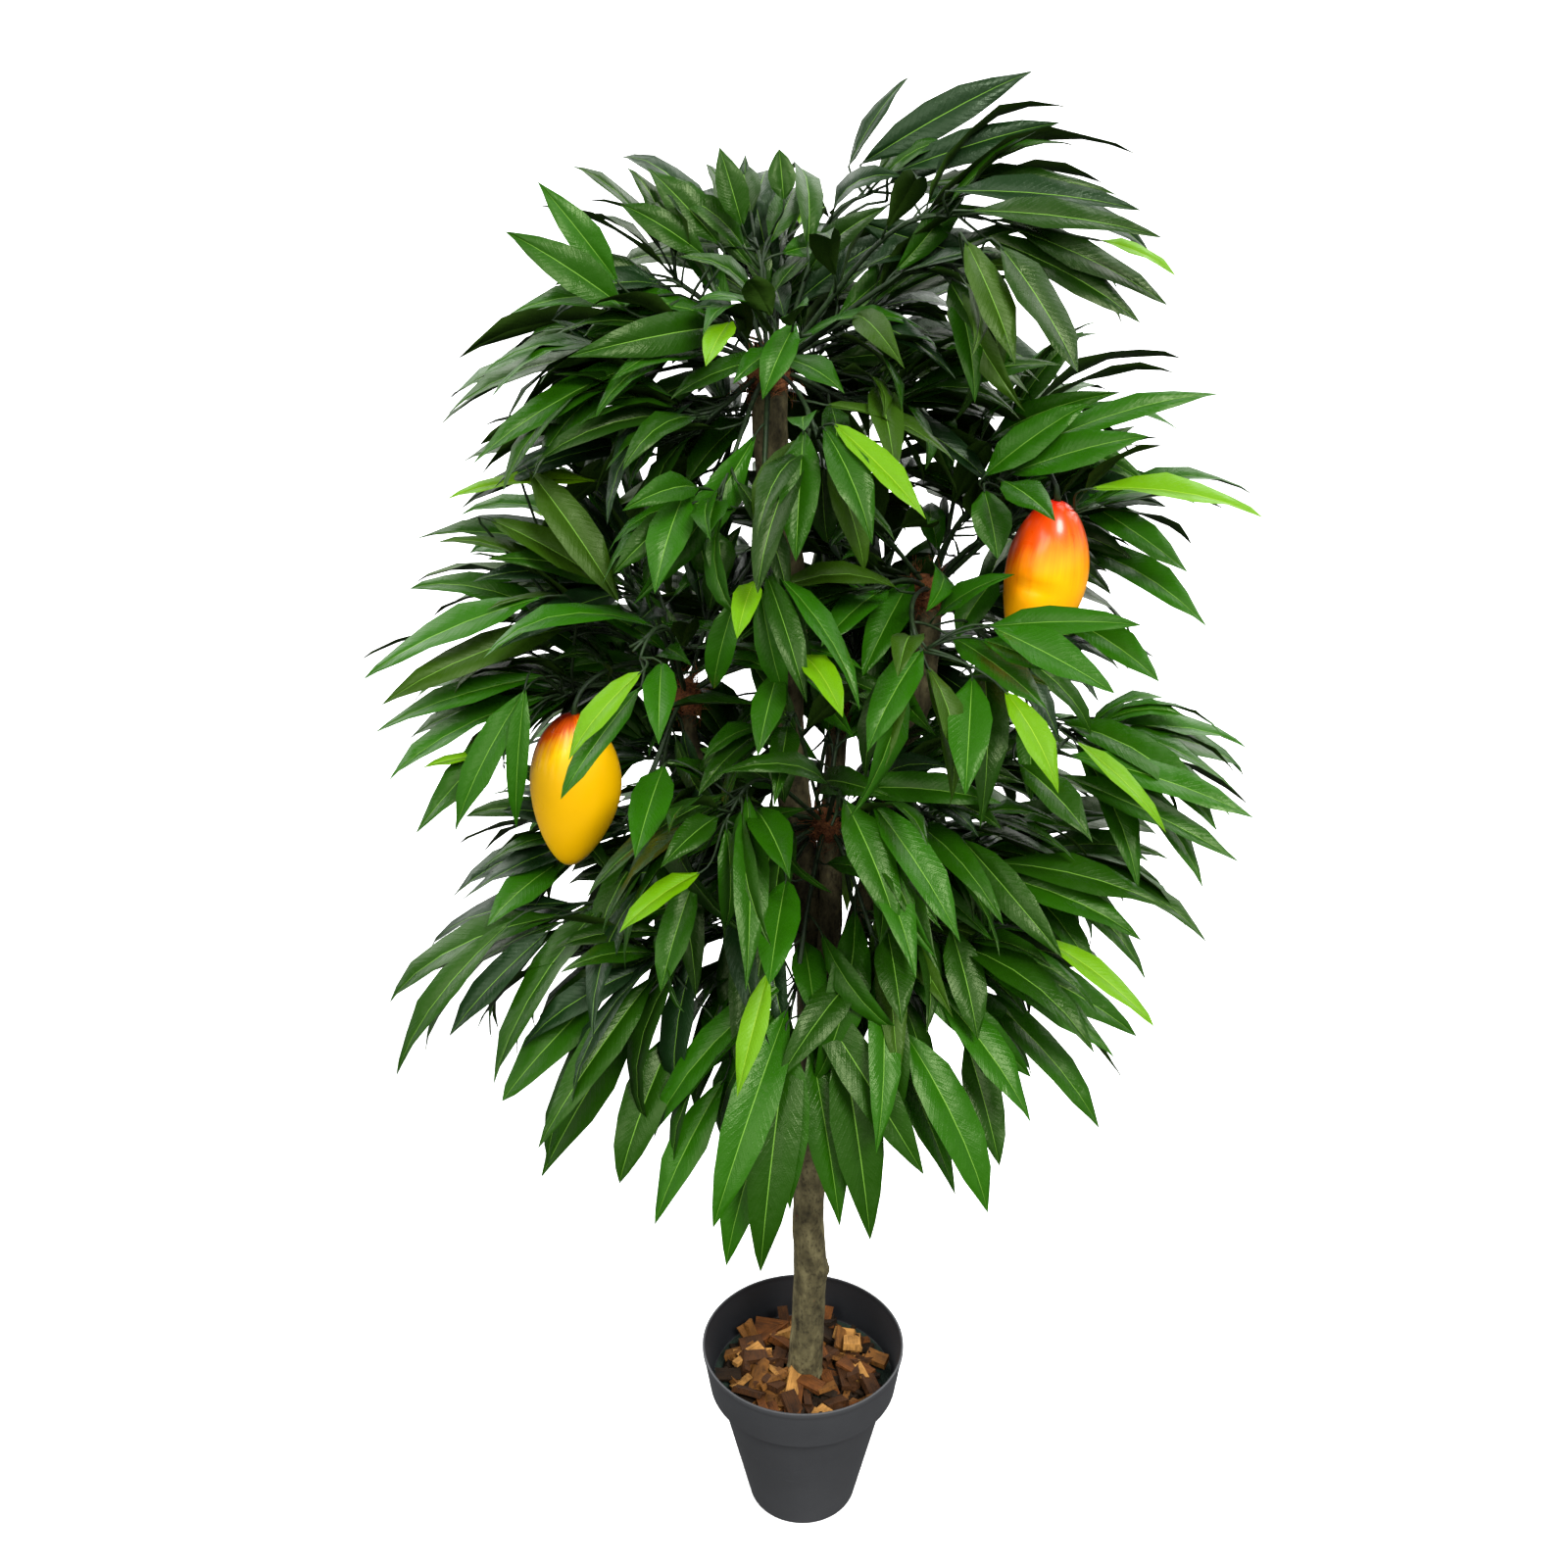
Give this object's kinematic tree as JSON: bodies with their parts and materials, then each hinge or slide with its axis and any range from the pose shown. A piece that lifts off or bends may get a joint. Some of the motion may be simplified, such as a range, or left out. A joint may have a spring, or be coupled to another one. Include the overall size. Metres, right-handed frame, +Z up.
{
  "type": "artificial mango tree in a pot",
  "caption": "Artificial mango tree with a wooden trunk, side poles and drooping sprays of long leaves, standing in a tapered nursery pot topped with wood chips.",
  "frame": {"origin": "centre of the pot's flat underside, on the floor", "axes": "+Z up the trunk, -Y towards the front of the tree, +X to the right of someone facing the front"},
  "size_m": [0.6569, 0.5331, 1.2172],
  "materials": {
    "pot_plastic": "fine satin",
    "cement": "painted dark green",
    "wood_chips": "rough split bark and wood",
    "bark": "natural dry bark",
    "coir": "tangled coconut fibre",
    "leaf_green": "waxed printed fabric",
    "leaf_lime": "waxed printed fabric",
    "stem_plastic": "moulded",
    "mango_skin": "lacquered, with a red blush"
  },
  "bodies": {
    "root": {"pot": "pot_plastic", "pot_fill": "cement", "trunk": "bark", "chip_bed": "wood_chips", "pole_front": "bark", "pole_right": "bark", "pole_left": "bark", "pole_back": "bark", "coir_trunk": "coir", "coir_pole_front": "coir", "coir_pole_right": "coir", "coir_pole_left": "coir", "coir_pole_back": "coir", "leaves_top_right_high": "leaf_green", "leaves_top_right": "leaf_green", "leaves_top_right_drop": "leaf_green", "leaves_top_centre": "leaf_green", "leaves_top_left": "leaf_green", "leaves_upper_left": "leaf_green", "leaves_shoulder_left": "leaf_green", "leaves_crown_right": "leaf_green", "leaves_crown_left": "leaf_green", "leaves_front_top": "leaf_green", "leaves_front_centre": "leaf_green", "leaves_top_back": "leaf_green", "leaves_top_back_left": "leaf_green", "leaves_top_back_right": "leaf_green", "leaves_right_top": "leaf_green", "leaves_right_high": "leaf_green", "leaves_right_shoulder": "leaf_green", "leaves_right_middle": "leaf_green", "leaves_front_right_high": "leaf_green", "leaves_centre_right": "leaf_green", "leaves_back_right_high": "leaf_green", "leaves_back_right": "leaf_green", "leaves_left_top": "leaf_green", "leaves_left_high": "leaf_green", "leaves_left_middle": "leaf_green", "leaves_front_left_high": "leaf_green", "leaves_left_drop": "leaf_green", "leaves_back_left_high": "leaf_green", "leaves_back_left": "leaf_green", "leaves_front_right_low": "leaf_green", "leaves_front_left_low": "leaf_green", "leaves_right_low": "leaf_green", "leaves_right_inner": "leaf_green", "leaves_skirt_right": "leaf_green", "leaves_skirt_front_right": "leaf_green", "leaves_skirt_front": "leaf_green", "leaves_skirt_front_left": "leaf_green", "leaves_skirt_left": "leaf_green", "leaves_left_low": "leaf_green", "leaves_back_high": "leaf_green", "leaves_back_middle": "leaf_green", "leaves_back_right_low": "leaf_green", "leaves_back_left_low": "leaf_green", "leaves_skirt_back_right": "leaf_green", "leaves_skirt_back_left": "leaf_green", "leaves_skirt_back": "leaf_green"}
  },
  "joints": []
}
